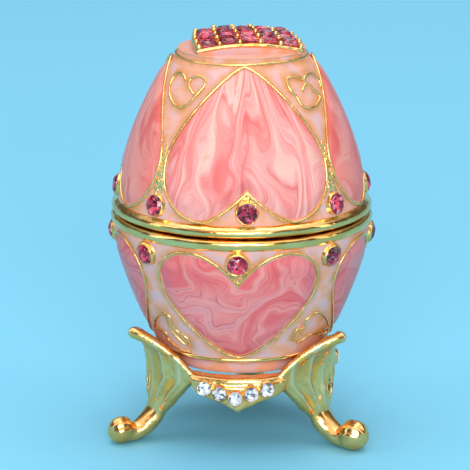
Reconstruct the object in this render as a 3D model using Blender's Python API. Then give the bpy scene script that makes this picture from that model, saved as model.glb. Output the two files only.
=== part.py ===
# Egg-shaped trinket box on a three-legged stand, set with rhinestones.
# The egg's axis is upright, its front faces -Y, and the stand's feet touch z = 0.
# Heights called "above the seam" are measured from where the lid meets the cup.

import math

import bmesh
import bpy
from mathutils import Matrix, Vector

mm = 0.001

# Whole object
seam_height = 35.5 * mm
part_gap = 0.3 * mm
wall = 1.4 * mm
turned_sides = 32

# Lid, heights above the seam
lid_rim_radius = 20.1 * mm
lid_girth_radius = lid_rim_radius - 0.9 * mm
lid_full_rise = 34.0 * mm
lid_rim_height = 1.75 * mm
lid_turn = math.radians(2.5)
drum_radius = 9.9 * mm
drum_foot = 24.1 * mm
drum_rise = 1.1 * mm

# Crown plate on the lid's top, a four-sided cushion that is a little askew
left_front_x = -6.5 * mm
left_front_y = -7.3 * mm
right_front_x = 9.1 * mm
right_front_y = -4.6 * mm
left_back_x = -7.3 * mm
left_back_y = 6.6 * mm
right_back_x = 7.0 * mm
right_back_y = 7.0 * mm
plate_bow = 0.4 * mm
plate_rise = 1.8 * mm
plate_reach = 7.8 * mm
plate_side_drop = 1.0 * mm
plate_front_drop = 0.6 * mm
crown_columns = 5
crown_rows = 4
crown_stone_radius = 1.28 * mm
crown_facets = 7

# Cup, depths below the seam
cup_rim_radius = lid_rim_radius + 0.1 * mm
cup_girth_radius = cup_rim_radius - 0.45 * mm
cup_bulge = 1.4
cup_rim_depth = 1.95 * mm
cup_belly_foot = 20.7 * mm
cup_waist_radius = 13.3 * mm
cup_foot_radius = cup_waist_radius - 1.6 * mm
cup_foot_height = 2.6 * mm
cup_foot_depth = cup_belly_foot + cup_foot_height
cup_turn = math.radians(-1.8)
lip_radius = lid_girth_radius - wall
lip_height = 1.2 * mm
lip_thickness = 1.1 * mm

# Raised enamel hearts, four round the lid and four round the cup
heart_count = 4
heart_relief = 0.35 * mm
heart_sink = 0.7 * mm

# Pink stones, the same size on the lid, the cup and the crown
pink_radius = 1.5 * mm
pink_crown = 0.75 * mm
pink_depth = 0.35 * mm
pink_facets = 8
stones_round = 8
lid_stone_height = 3.8 * mm
cup_stone_depth = 3.75 * mm
seat_radius = 1.8 * mm
seat_rise = 0.3 * mm

# Clear stones on the stand's three plaques
clear_radius = 0.98 * mm
clear_crown = 0.5 * mm
clear_facets = 8
clear_row = 5
clear_pitch = 2.4 * mm
clear_drop = 0.68 * mm
clear_rise = 2.35 * mm
clear_turn = math.radians(1.0)

# Stand, heights above the floor
leg_count = 3
stand_turn = math.radians(-4.5)
ring_radius = cup_waist_radius + 0.7 * mm
ring_overlap = 0.1 * mm
ring_top = seam_height - cup_foot_depth + ring_overlap
ring_band = 1.7 * mm
ring_thickness = 1.5 * mm
petal_half_angle = math.radians(30)
petal_rise = 5.4 * mm
petal_flare = 4.4 * mm
petal_thickness = 1.25 * mm
petal_flutes = 5
flute_depth = 0.28 * mm
ankle_height = 5.2 * mm
ankle_radius = ring_radius + 0.5 * mm
ankle_half_width = 2.8 * mm
ball_radius = 2.25 * mm
ball_reach = 20.6 * mm
foot_flat = 0.12 * mm
toe_thickness = 1.55 * mm
toe_half_width = 2.3 * mm
plaque_half_angle = math.radians(29)
plaque_drop = 5.3 * mm
plaque_turn = math.radians(2.5)
plaque_tip = ring_top - plaque_drop
plaque_side = 1.0 * mm
plaque_thickness = 1.5 * mm
plaque_face = ring_radius + 0.95 * mm
plaque_horns = 0.9 * mm


class Heart:
    """Half outline of a heart on a turned surface, as an angle and a height.

    It runs from the point, past the widest place and round the lobe to the notch.
    """

    def __init__(self, point, widest, lobe, notch, half_angle, lobe_angle, sweep):
        self.point = point
        self.widest = widest
        self.lobe = lobe
        self.notch = notch
        self.half_angle = half_angle
        self.lobe_angle = lobe_angle
        self.sweep = sweep

    def half_outline(self, flank_steps=7, lobe_steps=4, notch_steps=3):
        points = []
        for step in range(flank_steps):
            turn = math.pi / 2 * step / flank_steps
            across = math.sin(turn) ** (2 / 1.5)
            along = math.cos(turn) ** (2 / 1.6)
            height = self.widest + (self.point - self.widest) * along
            points.append((self.half_angle * across, height))
        for step in range(lobe_steps):
            turn = math.pi / 2 * step / lobe_steps
            reach = self.half_angle - self.lobe_angle
            height = self.widest + (self.lobe - self.widest) * math.sin(turn)
            points.append((self.lobe_angle + reach * math.cos(turn), height))
        for step in range(notch_steps + 1):
            share = 1 - step / notch_steps
            climb = (1 - share) ** self.sweep
            height = self.lobe + (self.notch - self.lobe) * climb
            points.append((self.lobe_angle * share, height))
        return points

    def outline(self):
        half = self.half_outline()
        return half + [(-angle, height) for angle, height in reversed(half[1:-1])]


lid_heart = Heart(
    point=drum_foot - 0.1 * mm,
    widest=10.4 * mm,
    lobe=lid_rim_height + 0.4 * mm,
    notch=6.8 * mm,
    half_angle=math.radians(43.2),
    lobe_angle=math.radians(21),
    sweep=1.4,
)
cup_heart = Heart(
    point=0.7 * mm - cup_belly_foot,
    widest=-8.0 * mm,
    lobe=-cup_rim_depth - 0.4 * mm,
    notch=-7.3 * mm,
    half_angle=math.radians(39.3),
    lobe_angle=math.radians(22),
    sweep=2.0,
)


def lid_radius(height):
    share = max(0.0, 1 - (height / lid_full_rise) ** 1.61)
    return lid_girth_radius * share**0.71


def cup_radius(height):
    depth = (-height - cup_rim_depth) / (cup_belly_foot - cup_rim_depth)
    depth = min(max(depth, 0.0), 1.1)
    return cup_girth_radius - (cup_girth_radius - cup_waist_radius) * depth**cup_bulge


def plate_height(x, y):
    drop = plate_side_drop * (x / plate_reach) ** 2 + plate_front_drop * (y / plate_reach) ** 2
    return drum_foot + drum_rise + plate_rise - drop


def around(angle, radius, height):
    """A place at an angle from the front, turning towards +X."""
    return Vector((radius * math.sin(angle), -radius * math.cos(angle), height))


def clear_scene():
    for thing in list(bpy.data.objects):
        bpy.data.objects.remove(thing, do_unlink=True)


def make_material(name, colour, roughness, metallic):
    material = bpy.data.materials.new(name)
    material.use_nodes = True
    shader = material.node_tree.nodes["Principled BSDF"]
    shader.inputs["Base Color"].default_value = (*colour, 1.0)
    shader.inputs["Roughness"].default_value = roughness
    shader.inputs["Metallic"].default_value = metallic
    material.diffuse_color = (*colour, 1.0)
    return material


def make_mesh(name, form):
    bmesh.ops.remove_doubles(form, verts=form.verts, dist=0.00001)
    bmesh.ops.recalc_face_normals(form, faces=form.faces)
    mesh = bpy.data.meshes.new(name)
    form.to_mesh(mesh)
    form.free()
    return mesh


def make_object(name, mesh, material=None):
    thing = bpy.data.objects.new(name, mesh)
    bpy.context.scene.collection.objects.link(thing)
    if material is not None:
        mesh.materials.clear()
        mesh.materials.append(material)
    return thing


def join_with(target, other, operation):
    """Boolean of two closed bodies, kept as the target's own mesh."""
    change = target.modifiers.new("join", "BOOLEAN")
    change.operation = operation
    change.solver = "EXACT"
    change.object = other
    graph = bpy.context.evaluated_depsgraph_get()
    mesh = bpy.data.meshes.new_from_object(target.evaluated_get(graph))
    form = bmesh.new()
    form.from_mesh(mesh)
    bmesh.ops.remove_doubles(form, verts=form.verts, dist=0.000002)
    form.to_mesh(mesh)
    form.free()
    target.modifiers.clear()
    target.data = mesh
    bpy.data.objects.remove(other, do_unlink=True)


def finish(thing, material, angle=35):
    thing.data.materials.clear()
    thing.data.materials.append(material)
    thing.data.polygons.foreach_set("material_index", [0] * len(thing.data.polygons))
    thing.data.shade_smooth()
    thing.data.set_sharp_from_angle(angle=math.radians(angle))


def turned_form(profile, sides=turned_sides):
    """Closed body turned about the upright axis from radius and height pairs."""
    form = bmesh.new()
    verts = [form.verts.new((radius, 0.0, height)) for radius, height in profile]
    for first, second in zip(verts, verts[1:]):
        form.edges.new((first, second))
    bmesh.ops.spin(
        form,
        geom=form.verts[:] + form.edges[:],
        cent=(0, 0, 0),
        axis=(0, 0, 1),
        angle=math.tau,
        steps=sides,
        use_merge=True,
    )
    return form


def mapped_grid(across, along, place):
    """Grid whose corners at -1..1 by 0..1 are moved to place(u, v)."""
    form = bmesh.new()
    bmesh.ops.create_grid(form, x_segments=across, y_segments=along, size=1.0)
    for vert in form.verts:
        vert.co = place(vert.co.x, (vert.co.y + 1) / 2)
    return form


def thicken(form, depth):
    """Turns a sheet into a closed body, growing it by the depth to its inner side."""
    bmesh.ops.recalc_face_normals(form, faces=form.faces)
    outward = Vector((0, 0, 0))
    for face in form.faces:
        middle = face.calc_center_median()
        outward.x += face.normal.dot(Vector((middle.x, middle.y, 0)))
    if outward.x < 0:
        bmesh.ops.reverse_faces(form, faces=form.faces)
    bmesh.ops.solidify(form, geom=form.faces[:], thickness=depth)
    return form


def turned_copies(form, count, start=0.0):
    """Repeats a form's faces evenly about the upright axis."""
    source = form.verts[:] + form.edges[:] + form.faces[:]
    for index in range(1, count):
        copy = bmesh.ops.duplicate(form, geom=source)["geom"]
        verts = [item for item in copy if isinstance(item, bmesh.types.BMVert)]
        spin = Matrix.Rotation(math.tau * index / count, 3, "Z")
        bmesh.ops.rotate(form, verts=verts, cent=(0, 0, 0), matrix=spin)
    if start:
        bmesh.ops.rotate(
            form, verts=form.verts, cent=(0, 0, 0), matrix=Matrix.Rotation(start, 3, "Z")
        )
    return form


def heart_form(heart, radius_at):
    """Solid heart that follows the egg, raised above it and sunk into its wall."""
    form = bmesh.new()
    verts = [form.verts.new((angle, 0.0, height / mm)) for angle, height in heart.outline()]
    form.faces.new(verts)
    bmesh.ops.triangulate(form, faces=form.faces, ngon_method="EAR_CLIP")
    bmesh.ops.dissolve_limit(
        form, angle_limit=0.01, verts=form.verts, edges=form.edges, use_dissolve_boundaries=False
    )
    cuts = [((math.radians(step * 10), 0, 0), (1, 0, 0)) for step in range(-3, 4)]
    low = min(heart.point, heart.lobe) / mm
    high = max(heart.point, heart.lobe) / mm
    cuts += [((0, 0, low + (high - low) * step / 4), (0, 0, 1)) for step in range(1, 4)]
    for place, normal in cuts:
        geometry = form.verts[:] + form.edges[:] + form.faces[:]
        bmesh.ops.bisect_plane(form, geom=geometry, dist=1e-5, plane_co=place, plane_no=normal)
    inner = bmesh.ops.duplicate(form, geom=form.faces[:])
    inner_verts = {item for item in inner["geom"] if isinstance(item, bmesh.types.BMVert)}
    rims = [edge for edge in form.edges if edge.is_boundary]
    for vert in form.verts:
        angle = vert.co.x
        height = vert.co.z * mm
        offset = -heart_sink if vert in inner_verts else heart_relief
        vert.co = around(angle, radius_at(height) + offset, height)
    bmesh.ops.bridge_loops(form, edges=rims)
    bmesh.ops.recalc_face_normals(form, faces=form.faces)
    return form


def seat_places(radius_at, height, turn):
    """Place and outward direction of each stone round the lid or the cup."""
    slope = (radius_at(height + 0.5 * mm) - radius_at(height - 0.5 * mm)) / mm
    places = []
    for index in range(stones_round):
        angle = turn + math.tau * index / stones_round
        outward = around(angle, 1.0, -slope).normalized()
        places.append((around(angle, radius_at(height), height), outward))
    return places


def facing(outward):
    return outward.to_track_quat("Z", "Y").to_matrix().to_4x4()


def stacked_form(levels, sides, frame=Matrix.Identity(4)):
    """Closed body through even-sided rings, given as radius and height pairs."""
    form = bmesh.new()
    loops = []
    for index, (reach, height) in enumerate(levels):
        ring = bmesh.ops.create_circle(
            form,
            segments=sides,
            radius=reach,
            matrix=frame @ Matrix.Translation((0, 0, height)),
        )["verts"]
        edges = {edge for vert in ring for edge in vert.link_edges}
        loops.append(list(edges))
        if index in (0, len(levels) - 1):
            form.faces.new(ring)
    for lower, upper in zip(loops, loops[1:]):
        bmesh.ops.bridge_loops(form, edges=lower + upper)
    bmesh.ops.recalc_face_normals(form, faces=form.faces)
    return form


def seats_object(places):
    """Low round seats, sunk in the wall, that the stones stand on."""
    levels = [(seat_radius, -heart_sink), (seat_radius, seat_rise)]
    whole = bmesh.new()
    for place, outward in places:
        form = stacked_form(levels, pink_facets, Matrix.Translation(place) @ facing(outward))
        mesh = make_mesh("seat", form)
        whole.from_mesh(mesh)
        bpy.data.meshes.remove(mesh)
    return make_object("seats", make_mesh("seats", whole))


def stone_mesh(name, radius, crown, depth, facets):
    """Cut stone with a flat table; one with a depth narrows to a smaller flat back."""
    levels = [(radius, 0.0), (radius * 0.62, crown)]
    if depth:
        levels.insert(0, (radius * 0.6, -depth))
    return make_mesh(name, stacked_form(levels, facets))


def set_stone(name, mesh, place, outward, lift):
    thing = make_object(name, mesh)
    thing.location = place + outward * lift
    thing.rotation_mode = "QUATERNION"
    thing.rotation_quaternion = outward.to_track_quat("Z", "Y")
    return thing


def lid_profile():
    heights = [lid_rim_height + 0.35 * mm]
    heights += [drum_foot * share for share in (0.247, 0.432, 0.617, 0.782, 0.914)]
    wall_line = [(lid_radius(height), height) for height in heights]
    drum_top = drum_foot + drum_rise
    outer = [
        (lip_radius + part_gap, part_gap / 2),
        (lid_rim_radius - 0.35 * mm, part_gap / 2),
        (lid_rim_radius, part_gap / 2 + 0.45 * mm),
        (lid_rim_radius - 0.05 * mm, lid_rim_height - 0.5 * mm),
        (lid_rim_radius - 0.6 * mm, lid_rim_height),
        *wall_line,
        (lid_radius(drum_foot) + 0.1 * mm, drum_foot - 0.35 * mm),
        (drum_radius + 0.1 * mm, drum_foot),
        (drum_radius, drum_foot + 0.2 * mm),
        (drum_radius, drum_top - 0.25 * mm),
        (drum_radius - 0.25 * mm, drum_top),
        (0.0, drum_top),
    ]
    inner = [(0.0, drum_top - wall)]
    for share in (0.823, 0.535, 0.206):
        height = drum_foot * share
        reach = lid_radius(height) - wall
        inner.append((min(reach, lip_radius + part_gap), height))
    return outer + inner + [outer[0]]


def build_lid(enamel):
    lid = make_object("lid", make_mesh("lid", turned_form(lid_profile())))
    hearts = turned_copies(heart_form(lid_heart, lid_radius), heart_count)
    join_with(lid, make_object("hearts", make_mesh("hearts", hearts)), "UNION")
    join_with(lid, plate_object(), "UNION")
    join_with(lid, seats_object(seat_places(lid_radius, lid_stone_height, 0.0)), "UNION")
    lid.location.z = seam_height
    lid.rotation_euler.z = lid_turn
    finish(lid, enamel)
    return lid


def plate_point(across, along):
    """A place on the crown plate, from its left front corner at -1, -1 to the right back one."""
    share = (along + 1) / 2
    left_x = left_front_x + (left_back_x - left_front_x) * share
    left_y = left_front_y + (left_back_y - left_front_y) * share
    right_x = right_front_x + (right_back_x - right_front_x) * share
    right_y = right_front_y + (right_back_y - right_front_y) * share
    share = (across + 1) / 2
    x = left_x + (right_x - left_x) * share + plate_bow * across * (1 - along**2)
    y = left_y + (right_y - left_y) * share + plate_bow * along * (1 - across**2)
    return x, y


def plate_object():
    def top(u, v):
        x, y = plate_point(u, 2 * v - 1)
        return Vector((x, y, plate_height(x, y)))

    form = mapped_grid(6, 6, top)
    floor = bmesh.ops.duplicate(form, geom=form.faces[:])
    floor_verts = [item for item in floor["geom"] if isinstance(item, bmesh.types.BMVert)]
    rims = [edge for edge in form.edges if edge.is_boundary]
    for vert in floor_verts:
        vert.co.z = drum_foot + drum_rise - 0.4 * mm
    bmesh.ops.bridge_loops(form, edges=rims)
    form.transform(Matrix.Rotation(-lid_turn, 4, "Z"))
    return make_object("plate", make_mesh("plate", form))


def cup_profile():
    depths = [cup_rim_depth + 0.35 * mm] + [cup_belly_foot * share for share in (0.34, 0.58, 0.82)]
    wall_line = [(cup_radius(-depth), -depth) for depth in reversed(depths)]
    lip_top = lip_height
    outer = [
        (0.0, -cup_foot_depth + 0.7 * mm),
        (cup_foot_radius - 1.2 * mm, -cup_foot_depth + 0.7 * mm),
        (cup_foot_radius - 1.0 * mm, -cup_foot_depth),
        (cup_foot_radius, -cup_foot_depth),
        (cup_foot_radius + 0.35 * mm, -cup_belly_foot - 0.4 * mm),
        (cup_waist_radius, -cup_belly_foot - 0.25 * mm),
        (cup_waist_radius + 0.3 * mm, -cup_belly_foot + 0.15 * mm),
        *wall_line,
        (cup_rim_radius - 0.65 * mm, -cup_rim_depth),
        (cup_rim_radius - 0.05 * mm, -cup_rim_depth + 0.5 * mm),
        (cup_rim_radius, -part_gap / 2 - 0.55 * mm),
        (cup_rim_radius - 0.35 * mm, -part_gap / 2),
        (lip_radius, -part_gap / 2),
        (lip_radius, lip_top - 0.2 * mm),
        (lip_radius - 0.2 * mm, lip_top),
        (lip_radius - lip_thickness, lip_top),
    ]
    inner = []
    for share in (0.34, 0.63, 0.89):
        depth = cup_belly_foot * share
        reach = cup_radius(-depth) - wall
        inner.append((min(reach, lip_radius - lip_thickness), -depth))
    floor_radius = cup_waist_radius - 3.3 * mm
    inner += [(floor_radius, -cup_belly_foot + 0.3 * mm), (0.0, -cup_belly_foot - 0.2 * mm)]
    return outer + inner


def build_cup(enamel):
    cup = make_object("cup", make_mesh("cup", turned_form(cup_profile())))
    hearts = turned_copies(heart_form(cup_heart, cup_radius), heart_count)
    join_with(cup, make_object("hearts", make_mesh("hearts", hearts)), "UNION")
    join_with(cup, seats_object(seat_places(cup_radius, -cup_stone_depth, 0.0)), "UNION")
    cup.location.z = seam_height
    cup.rotation_euler.z = cup_turn
    finish(cup, enamel)
    return cup


def petal_point(u, v):
    """A place on a leg's fluted petal, from the ankle at v = 0 to its top edge at v = 1."""
    middle = 0.5
    ring_low = ring_top - ring_band
    edge = abs(u)
    narrow = ankle_half_width / ankle_radius
    if v < middle:
        share = v / middle
        height = ankle_height + (ring_low - ankle_height) * share
        radius = ankle_radius + (ring_radius - ankle_radius) * share
        spread = narrow + (petal_half_angle - narrow) * share**1.25
    else:
        share = (v - middle) / (1 - middle)
        peak = ring_top - 0.1 * mm + petal_rise * (1 - edge**1.3)
        height = ring_low + (peak - ring_low) * share
        radius = ring_radius + petal_flare * (1 - edge) ** 1.8 * share**2.3
        spread = petal_half_angle
    ripple = math.cos(math.pi * petal_flutes * u) * flute_depth
    fade = math.sin(math.pi * min(max(v, 0.04), 0.96)) ** 0.5
    outer = radius + petal_thickness / 2 + ripple * fade * (1 - edge**4)
    return around(spread * u, outer, height)


def petals_form():
    form = thicken(mapped_grid(10, 5, petal_point), petal_thickness)
    return turned_copies(form, leg_count)


def toe_form():
    """The bent toe from the ankle out to the ball, as a round tube of changing width."""
    reach = ball_reach - ankle_radius
    line = [
        (ankle_radius, ankle_height * 1.35, toe_thickness * 0.8, toe_half_width * 0.95),
        (ankle_radius + reach * 0.03, ankle_height, toe_thickness * 0.9, toe_half_width),
        (ankle_radius + reach * 0.22, ankle_height * 0.66, toe_thickness, toe_half_width * 0.9),
        (ankle_radius + reach * 0.54, ankle_height * 0.46, toe_thickness, toe_half_width * 0.8),
        (ball_reach - reach * 0.1, ball_radius, ball_radius * 0.75, toe_half_width * 0.8),
    ]
    form = bmesh.new()
    loops = []
    for index, (distance, height, thick, wide) in enumerate(line):
        before = Vector(line[max(index - 1, 0)][:2])
        after = Vector(line[min(index + 1, len(line) - 1)][:2])
        heading = (after - before).normalized()
        ring = bmesh.ops.create_circle(form, segments=8, radius=1.0)["verts"]
        for vert in ring:
            side = vert.co.x * wide
            out = vert.co.y * thick
            radius = distance - heading.y * out
            vert.co = Vector((side, -radius, height + heading.x * out))
        edges = {edge for vert in ring for edge in vert.link_edges}
        loops.append(list(edges))
        if index in (0, len(line) - 1):
            form.faces.new(ring)
    for lower, upper in zip(loops, loops[1:]):
        bmesh.ops.bridge_loops(form, edges=lower + upper)
    bmesh.ops.recalc_face_normals(form, faces=form.faces)
    return turned_copies(form, leg_count)


def balls_form():
    """Ball feet, each with a small flat where it stands."""
    form = bmesh.new()
    centre = Vector((0, -ball_reach, ball_radius - foot_flat))
    bmesh.ops.create_uvsphere(
        form, u_segments=10, v_segments=6, radius=ball_radius, matrix=Matrix.Translation(centre)
    )
    geometry = form.verts[:] + form.edges[:] + form.faces[:]
    cut = bmesh.ops.bisect_plane(
        form,
        geom=geometry,
        dist=0.00001,
        plane_co=(0, 0, 0),
        plane_no=(0, 0, -1),
        clear_outer=True,
    )
    edges = [item for item in cut["geom_cut"] if isinstance(item, bmesh.types.BMEdge)]
    bmesh.ops.contextual_create(form, geom=edges)
    return turned_copies(form, leg_count)


def ring_profile():
    outer = ring_radius + ring_thickness / 2
    inner = ring_radius - ring_thickness / 2
    low = ring_top - ring_band
    middle = ring_top - ring_band / 2
    return [
        (inner, low),
        (outer - 0.35 * mm, low),
        (outer, middle - 0.35 * mm),
        (outer, middle + 0.35 * mm),
        (outer - 0.35 * mm, ring_top),
        (inner, ring_top),
        (inner, low),
    ]


def plaque_point(u, v):
    """A place on a plaque's face; its lower edge runs down to a tip in the middle."""
    high = ring_top - ring_band + 0.3 * mm + plaque_horns * abs(u) ** 1.5
    slope = 1 - abs(u)
    low = ring_top - ring_band - plaque_side * min(1.0, slope * 4) ** 0.5
    drop = low - plaque_tip
    low -= drop * (0.55 * slope + 0.45 * slope**2.6)
    return around(plaque_half_angle * u, plaque_face, low + (high - low) * v)


def plaques_form():
    form = thicken(mapped_grid(8, 1, plaque_point), plaque_thickness)
    half_step = math.pi / leg_count
    return turned_copies(form, leg_count, start=half_step + plaque_turn)


def build_stand(gold):
    stand = make_object("stand", make_mesh("stand", petals_form()))
    pieces = (
        turned_form(ring_profile(), turned_sides - 8),
        toe_form(),
        balls_form(),
        plaques_form(),
    )
    for form in pieces:
        join_with(stand, make_object("piece", make_mesh("piece", form)), "UNION")
    # Legs stand at 60 degrees to each side of the front and at the back.
    stand.rotation_euler.z = stand_turn + math.pi / leg_count
    finish(stand, gold)
    return stand


def clear_places():
    """Place and outward direction of the clear stones on all three plaques."""
    places = []
    for plaque in range(leg_count):
        middle = stand_turn + clear_turn + math.tau * plaque / leg_count
        for index in range(clear_row):
            step = index - (clear_row - 1) / 2
            angle = middle + step * clear_pitch / plaque_face
            height = plaque_tip + clear_rise + clear_drop * abs(step) ** 0.9
            places.append((around(angle, plaque_face, height), around(angle, 1.0, 0.0)))
    return places


def crown_places():
    """Place and outward direction of the stones that pave the crown plate."""
    places = []
    for row in range(crown_rows):
        for column in range(crown_columns):
            across = (2 * column + 1) / crown_columns - 1
            along = (2 * row + 1) / crown_rows - 1
            x, y = plate_point(across, along)
            lean_x = 2 * plate_side_drop * x / plate_reach**2
            lean_y = 2 * plate_front_drop * y / plate_reach**2
            place = Vector((x, y, plate_height(x, y) + seam_height))
            places.append((place, Vector((lean_x, lean_y, 1.0)).normalized()))
    return places


def build_stones(pink, clear):
    pink_mesh = stone_mesh("pink_stone", pink_radius, pink_crown, pink_depth, pink_facets)
    pink_mesh.materials.append(pink)
    crown_mesh = stone_mesh("crown_stone", crown_stone_radius, pink_crown, 0, crown_facets)
    crown_mesh.materials.append(pink)
    clear_mesh = stone_mesh("clear_stone", clear_radius, clear_crown, 0, clear_facets)
    clear_mesh.materials.append(clear)
    lift = seat_rise + part_gap + pink_depth
    rings = (
        ("lid_stone", seat_places(lid_radius, lid_stone_height, lid_turn)),
        ("cup_stone", seat_places(cup_radius, -cup_stone_depth, cup_turn)),
    )
    for name, places in rings:
        for index, (place, outward) in enumerate(places, 1):
            place.z += seam_height
            set_stone(f"{name}_{index}", pink_mesh, place, outward, lift)
    for index, (place, outward) in enumerate(crown_places(), 1):
        set_stone(f"crown_stone_{index:02d}", crown_mesh, place, outward, part_gap)
    for index, (place, outward) in enumerate(clear_places(), 1):
        set_stone(f"clear_stone_{index:02d}", clear_mesh, place, outward, part_gap)


def centre_on_origin():
    """Moves everything so that the object's box is centred over the origin."""
    bpy.context.view_layer.update()
    corners = []
    for thing in bpy.context.scene.objects:
        corners += [thing.matrix_world @ vert.co for vert in thing.data.vertices]
    middle_x = (min(c.x for c in corners) + max(c.x for c in corners)) / 2
    middle_y = (min(c.y for c in corners) + max(c.y for c in corners)) / 2
    for thing in bpy.context.scene.objects:
        thing.location.x -= middle_x
        thing.location.y -= middle_y


def build():
    clear_scene()
    gold = make_material("polished gold", (0.86, 0.66, 0.22), 0.18, 1.0)
    enamel = make_material("pink enamel", (0.93, 0.55, 0.52), 0.22, 0.0)
    pink = make_material("pink rhinestone", (0.72, 0.16, 0.36), 0.05, 0.0)
    clear = make_material("clear rhinestone", (0.86, 0.88, 0.90), 0.05, 0.0)
    build_stand(gold)
    build_cup(enamel)
    build_lid(enamel)
    build_stones(pink, clear)
    centre_on_origin()


build()
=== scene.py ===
import math

import bmesh
import bpy
from mathutils import Matrix, Vector, kdtree, noise


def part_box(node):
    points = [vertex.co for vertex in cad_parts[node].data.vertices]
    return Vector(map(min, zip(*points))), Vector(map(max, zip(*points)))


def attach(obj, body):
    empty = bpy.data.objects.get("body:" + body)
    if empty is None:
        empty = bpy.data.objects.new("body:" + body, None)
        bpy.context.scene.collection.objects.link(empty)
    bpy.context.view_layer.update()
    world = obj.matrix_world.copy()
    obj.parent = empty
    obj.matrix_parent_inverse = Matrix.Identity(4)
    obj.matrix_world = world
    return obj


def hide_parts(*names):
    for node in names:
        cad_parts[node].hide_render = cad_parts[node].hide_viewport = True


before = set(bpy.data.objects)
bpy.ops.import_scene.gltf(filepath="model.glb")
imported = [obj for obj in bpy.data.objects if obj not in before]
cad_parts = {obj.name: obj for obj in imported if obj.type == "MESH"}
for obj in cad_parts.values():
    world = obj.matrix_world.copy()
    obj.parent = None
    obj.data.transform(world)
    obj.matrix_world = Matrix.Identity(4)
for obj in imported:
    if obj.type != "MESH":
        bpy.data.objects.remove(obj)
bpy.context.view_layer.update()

# Shapes are modelled in millimetres round the egg's upright axis, with the floor at 0,
# and each finished mesh is brought to metres and moved over the frame's axis.
lowCorner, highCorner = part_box("cup")
eggAxis = Vector(((lowCorner[0] + highCorner[0]) / 2, (lowCorner[1] + highCorner[1]) / 2, 0))
toFrame = Matrix.Translation(eggAxis) @ Matrix.Scale(0.001, 4)
seam = 35.5  # height of the line where the lid meets the cup
gap = 0.3


def around(angle, radius, height):
    # a place at an angle from the front, turning towards +X
    return Vector((radius * math.sin(angle), -radius * math.cos(angle), height))


def mix(low, high, share):
    return low + (high - low) * share


def ease(share):
    share = min(max(share, 0.0), 1.0)
    return share * share * (3 - 2 * share)


def smoothLine(points, steps=4):
    # Catmull-Rom line through the points, ends kept
    points = [Vector(point) for point in points]
    ends = [points[0] * 2 - points[1]] + points + [points[-1] * 2 - points[-2]]
    line = []
    for index in range(1, len(ends) - 2):
        a, b, c, d = ends[index - 1 : index + 3]
        for step in range(steps):
            t = step / steps
            bend = a * 2 - b * 5 + c * 4 - d
            twist = b * 3 - a - c * 3 + d
            line.append((b * 2 + (c - a) * t + bend * t**2 + twist * t**3) / 2)
    line.append(points[-1])
    return line


def aboveSeam(profile):
    return [(point[0], point[1] + seam) for point in profile]


def turned(profile, sides):
    # closed body turned from radius and height pairs
    form = bmesh.new()
    verts = [form.verts.new((point[0], 0, point[1])) for point in profile]
    for first, second in zip(verts, verts[1:]):
        form.edges.new((first, second))
    bmesh.ops.spin(
        form,
        geom=form.verts[:] + form.edges[:],
        cent=(0, 0, 0),
        axis=(0, 0, 1),
        angle=math.tau,
        steps=sides,
        use_merge=True,
    )
    bmesh.ops.remove_doubles(form, verts=form.verts, dist=0.001)
    bmesh.ops.recalc_face_normals(form, faces=form.faces)
    return form


def sheetForm(across, along, place):
    # grid whose corners at -1..1 by 0..1 go to place(u, v); keeps both in a UV map
    form = bmesh.new()
    bmesh.ops.create_grid(form, x_segments=across, y_segments=along, size=1.0)
    flow = form.loops.layers.uv.new("flow")
    for face in form.faces:
        for loop in face.loops:
            loop[flow].uv = (loop.vert.co.x * 0.5 + 0.5, loop.vert.co.y * 0.5 + 0.5)
    for vert in form.verts:
        vert.co = place(vert.co.x, (vert.co.y + 1) / 2)
    return form


def faceOutwards(form):
    # an open sheet round the axis faces away from it
    total = 0.0
    for face in form.faces:
        centre = face.calc_center_median()
        total += face.normal.dot(Vector((centre.x, centre.y, 0)))
    if total < 0:
        bmesh.ops.reverse_faces(form, faces=form.faces)


def turnForm(form, angle):
    bmesh.ops.rotate(form, verts=form.verts, cent=(0, 0, 0), matrix=Matrix.Rotation(angle, 3, "Z"))
    return form


def absorb(whole, form, slotIndex=0):
    # adds a form to the whole one, its faces on that material slot, and frees it
    for face in form.faces:
        face.material_index = slotIndex
    mesh = bpy.data.meshes.new("part")
    form.to_mesh(mesh)
    form.free()
    whole.from_mesh(mesh)
    bpy.data.meshes.remove(mesh)


def wander(form, amount, size, seed=0.0):
    # moves each vertex along its normal by soft noise, as on an uneven casting
    form.normal_update()
    for vert in form.verts:
        shift = noise.noise(vert.co / size + Vector((seed, 0, seed)))
        vert.co += vert.normal * shift * amount


def wireForm(lines, thickness, seed=0.0, swell=None):
    # rods along lines of points; each rod's width wavers a little, as hand-laid wire,
    # and swell(share) gives its thickness from one end to the other
    curve = bpy.data.curves.new("wires", "CURVE")
    curve.dimensions = "3D"
    curve.bevel_depth = thickness / 2
    curve.bevel_resolution = 2
    curve.use_fill_caps = True
    for points, closed in lines:
        spline = curve.splines.new("POLY")
        spline.points.add(len(points) - 1)
        spline.use_cyclic_u = closed
        for index, (knot, point) in enumerate(zip(spline.points, points)):
            knot.co = (*point, 1)
            knot.radius = 1 + 0.22 * noise.noise(Vector(point) / 1.3 + Vector((seed, 0, 0)))
            if swell:
                knot.radius *= swell(index / (len(points) - 1))
    holder = bpy.data.objects.new("wires", curve)
    bpy.context.scene.collection.objects.link(holder)
    bpy.context.view_layer.update()
    mesh = bpy.data.meshes.new_from_object(holder.evaluated_get(bpy.context.evaluated_depsgraph_get()))
    form = bmesh.new()
    form.from_mesh(mesh)
    bpy.data.objects.remove(holder, do_unlink=True)
    bpy.data.meshes.remove(mesh)
    bmesh.ops.recalc_face_normals(form, faces=form.faces)
    return form


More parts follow.
